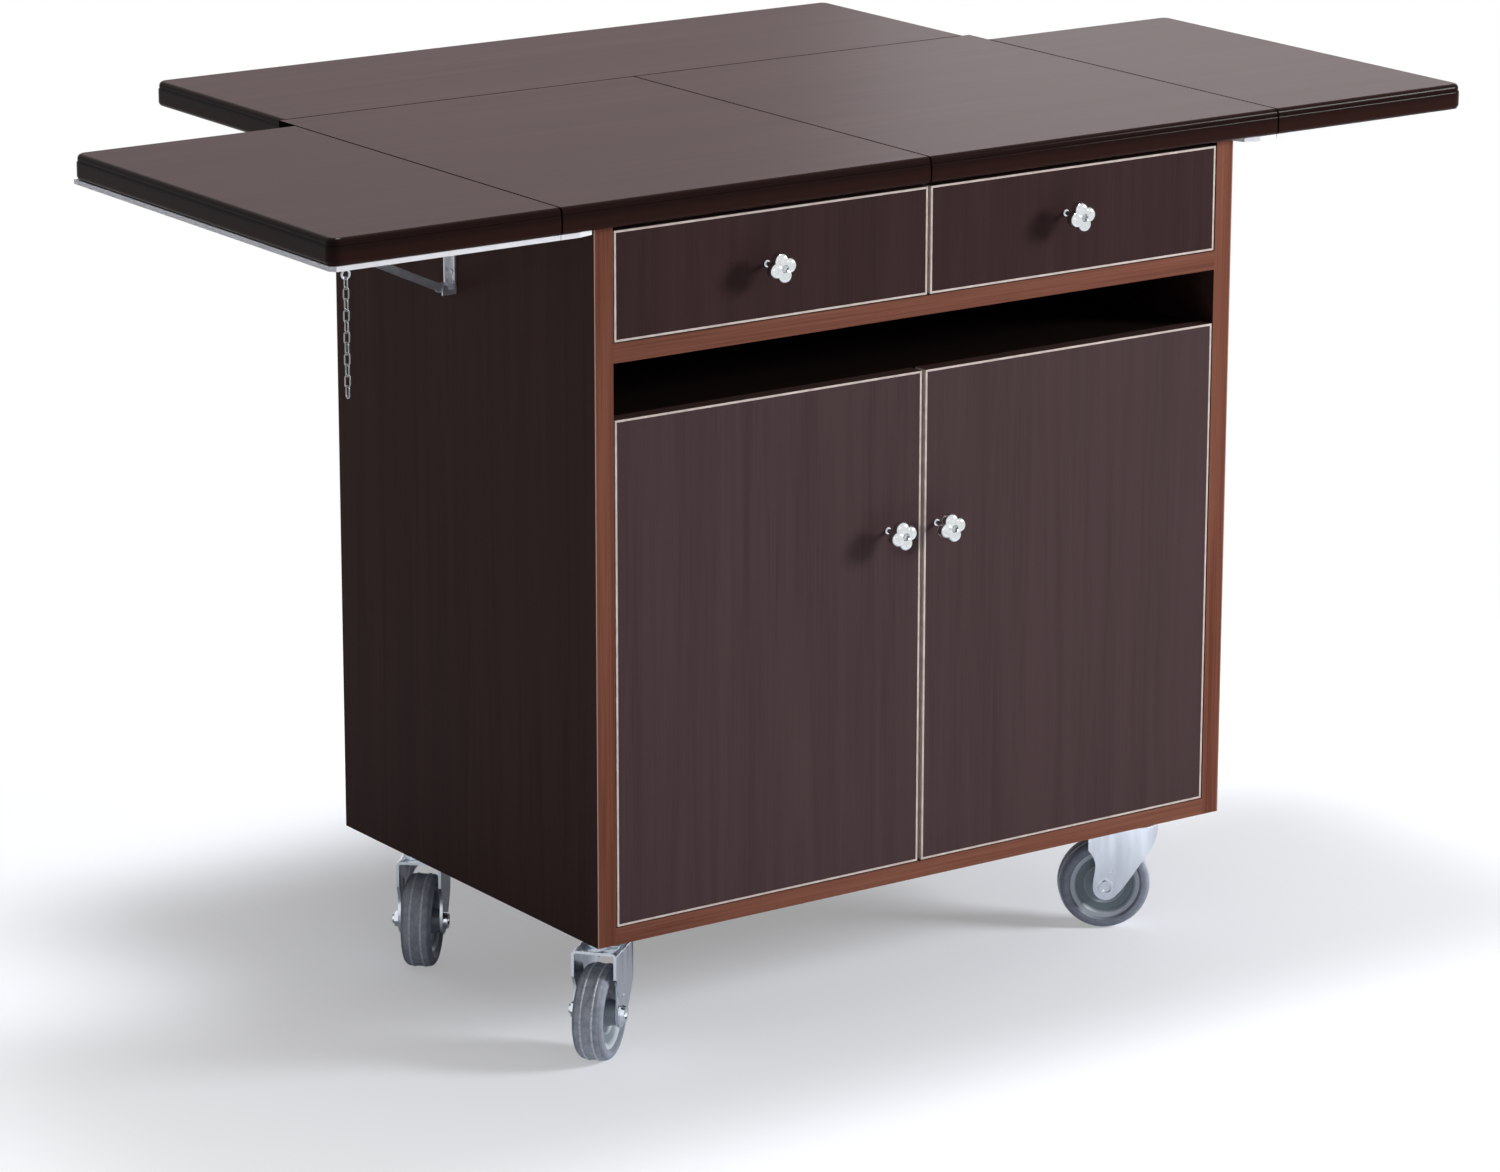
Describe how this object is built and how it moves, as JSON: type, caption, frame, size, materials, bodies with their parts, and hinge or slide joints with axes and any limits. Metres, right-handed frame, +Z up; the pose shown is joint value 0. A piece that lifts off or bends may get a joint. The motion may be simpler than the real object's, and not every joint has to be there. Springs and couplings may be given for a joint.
{
  "type": "tableside cooking cart",
  "caption": "Wooden cabinet on swivel casters with drop leaves on folding brackets, drawers over an open slot, double doors and flower-shaped knobs.",
  "frame": {"origin": "centre of the bounding box's footprint, on the floor under the wheels", "axes": "+X to the cart's right seen from the front, -Y out of the front, +Z up"},
  "size_m": [1.409, 0.826, 0.902],
  "materials": {
    "wenge_panel": "satin dark wood-grain laminate",
    "brown_edge": "satin reddish brown edges",
    "worktop": "satin dark worktop laminate",
    "pale_sheet": "matt white sheet",
    "edging": "cream edging",
    "raw_wood": "plain lacquered wood",
    "chrome": "polished",
    "zinc": "bright zinc plate",
    "tyre": "grey rubber tread",
    "rim": "moulded grey-blue wheel core"
  },
  "bodies": {
    "cabinet": {"side_panel_left": "wenge_panel", "side_panel_right": "wenge_panel", "bottom_panel": "brown_edge", "back_panel": "wenge_panel", "drawer_deck": "brown_edge", "drawer_divider": "wenge_panel", "slot_shelf": "wenge_panel", "shelf_cleats": "raw_wood", "top_left": "worktop", "top_right": "worktop", "overhang_strips": "pale_sheet", "leaf_hinges_fixed": "zinc", "bracket_wall_arms": "zinc", "drawer_runners": "raw_wood", "door_hinge_arms": "zinc", "caster_plates": "zinc"},
    "left_leaf": {"leaf_left": "worktop", "leaf_left_sheet": "pale_sheet", "leaf_left_fittings": "zinc"},
    "right_leaf": {"leaf_right": "worktop", "leaf_right_sheet": "pale_sheet", "leaf_right_fittings": "zinc"},
    "rear_leaf": {"leaf_rear": "worktop", "leaf_rear_fittings": "zinc"},
    "left_strut": {"bracket_left_strut": "zinc"},
    "right_strut": {"bracket_right_strut": "zinc"},
    "rear_struts": {"bracket_rear_strut": "zinc"},
    "chain": {"chain_links": "zinc"},
    "left_drawer": {"drawer_left_front": "wenge_panel", "drawer_left_edging": "edging", "drawer_left_box": "raw_wood", "drawer_left_knob": "chrome"},
    "right_drawer": {"drawer_right_front": "wenge_panel", "drawer_right_edging": "edging", "drawer_right_box": "raw_wood", "drawer_right_knob": "chrome"},
    "left_door": {"door_left_panel": "wenge_panel", "door_left_edging": "edging", "door_left_knob": "chrome", "door_left_hinge_cups": "zinc"},
    "right_door": {"door_right_panel": "wenge_panel", "door_right_edging": "edging", "door_right_knob": "chrome", "door_right_hinge_cups": "zinc"},
    "front_left_swivel": {"caster_front_left_fork": "zinc", "caster_front_left_axle": "zinc"},
    "front_left_wheel": {"caster_front_left_tyre": "tyre", "caster_front_left_rim": "rim"},
    "front_right_swivel": {"caster_front_right_fork": "zinc", "caster_front_right_axle": "zinc"},
    "front_right_wheel": {"caster_front_right_tyre": "tyre", "caster_front_right_rim": "rim"},
    "rear_left_swivel": {"caster_rear_left_fork": "zinc", "caster_rear_left_axle": "zinc"},
    "rear_left_wheel": {"caster_rear_left_tyre": "tyre", "caster_rear_left_rim": "rim"},
    "rear_right_swivel": {"caster_rear_right_fork": "zinc", "caster_rear_right_axle": "zinc"},
    "rear_right_wheel": {"caster_rear_right_tyre": "tyre", "caster_rear_right_rim": "rim"}
  },
  "joints": [
    {"name": "left_drawer_slide", "type": "slide", "parent": "cabinet", "child": "left_drawer", "axis": [0, -1, 0], "range_m": [0, 0.32]},
    {"name": "right_drawer_slide", "type": "slide", "parent": "cabinet", "child": "right_drawer", "axis": [0, -1, 0], "range_m": [0, 0.32]},
    {"name": "left_door_hinge", "type": "hinge", "parent": "cabinet", "child": "left_door", "pos_m": [-0.3765, -0.3815, 0.416], "axis": [0, 0, -1], "range_deg": [0, 105]},
    {"name": "right_door_hinge", "type": "hinge", "parent": "cabinet", "child": "right_door", "pos_m": [0.3765, -0.3815, 0.416], "axis": [0, 0, 1], "range_deg": [0, 105]},
    {"name": "left_leaf_hinge", "type": "hinge", "parent": "cabinet", "child": "left_leaf", "pos_m": [-0.4469, -0.143, 0.866], "axis": [0, -1, 0], "range_deg": [0, 90]},
    {"name": "left_strut_pivot", "type": "hinge", "parent": "cabinet", "child": "left_strut", "pos_m": [-0.4125, -0.121, 0.7676], "axis": [0, -1, 0], "range_deg": [0, 115]},
    {"name": "right_leaf_hinge", "type": "hinge", "parent": "cabinet", "child": "right_leaf", "pos_m": [0.4469, -0.143, 0.866], "axis": [0, 1, 0], "range_deg": [0, 90]},
    {"name": "right_strut_pivot", "type": "hinge", "parent": "cabinet", "child": "right_strut", "pos_m": [0.4125, -0.121, 0.7676], "axis": [0, 1, 0], "range_deg": [0, 115]},
    {"name": "rear_leaf_hinge", "type": "hinge", "parent": "cabinet", "child": "rear_leaf", "pos_m": [0, 0.1414, 0.871], "axis": [-1, 0, 0], "range_deg": [0, 90]},
    {"name": "rear_strut_pivot", "type": "hinge", "parent": "cabinet", "child": "rear_struts", "pos_m": [0, 0.122, 0.7676], "axis": [-1, 0, 0], "range_deg": [0, 115]},
    {"name": "chain_swing", "type": "hinge", "parent": "left_leaf", "child": "chain", "pos_m": [-0.675, -0.3725, 0.861], "axis": [0, -1, 0], "range_deg": [-90, 0]},
    {"name": "front_left_caster_swivel", "type": "hinge", "parent": "cabinet", "child": "front_left_swivel", "pos_m": [-0.342, -0.3135, 0.12], "axis": [0, 0, 1], "continuous": true},
    {"name": "front_left_wheel_axle", "type": "hinge", "parent": "front_left_swivel", "child": "front_left_wheel", "pos_m": [-0.36842, -0.3349, 0.05], "axis": [0.6293, -0.7771, 0], "continuous": true},
    {"name": "front_right_caster_swivel", "type": "hinge", "parent": "cabinet", "child": "front_right_swivel", "pos_m": [0.342, -0.3135, 0.12], "axis": [0, 0, 1], "continuous": true},
    {"name": "front_right_wheel_axle", "type": "hinge", "parent": "front_right_swivel", "child": "front_right_wheel", "pos_m": [0.31317, -0.29548, 0.05], "axis": [-0.5299, -0.848, 0], "continuous": true},
    {"name": "rear_left_caster_swivel", "type": "hinge", "parent": "cabinet", "child": "rear_left_swivel", "pos_m": [-0.342, 0.0385, 0.12], "axis": [0, 0, 1], "continuous": true},
    {"name": "rear_left_wheel_axle", "type": "hinge", "parent": "rear_left_swivel", "child": "rear_left_wheel", "pos_m": [-0.36475, 0.01323, 0.05], "axis": [0.7431, -0.6691, 0], "continuous": true},
    {"name": "rear_right_caster_swivel", "type": "hinge", "parent": "cabinet", "child": "rear_right_swivel", "pos_m": [0.342, 0.0385, 0.12], "axis": [0, 0, 1], "continuous": true},
    {"name": "rear_right_wheel_axle", "type": "hinge", "parent": "rear_right_swivel", "child": "rear_right_wheel", "pos_m": [0.30966, 0.04901, 0.05], "axis": [-0.309, -0.9511, 0], "continuous": true}
  ],
  "couplings": [
    {"joint": "left_strut_pivot", "follows": "left_leaf_hinge", "ratio": 1.2777},
    {"joint": "right_strut_pivot", "follows": "right_leaf_hinge", "ratio": 1.2777},
    {"joint": "rear_strut_pivot", "follows": "rear_leaf_hinge", "ratio": 1.2777},
    {"joint": "chain_swing", "follows": "left_leaf_hinge", "ratio": -1}
  ]
}
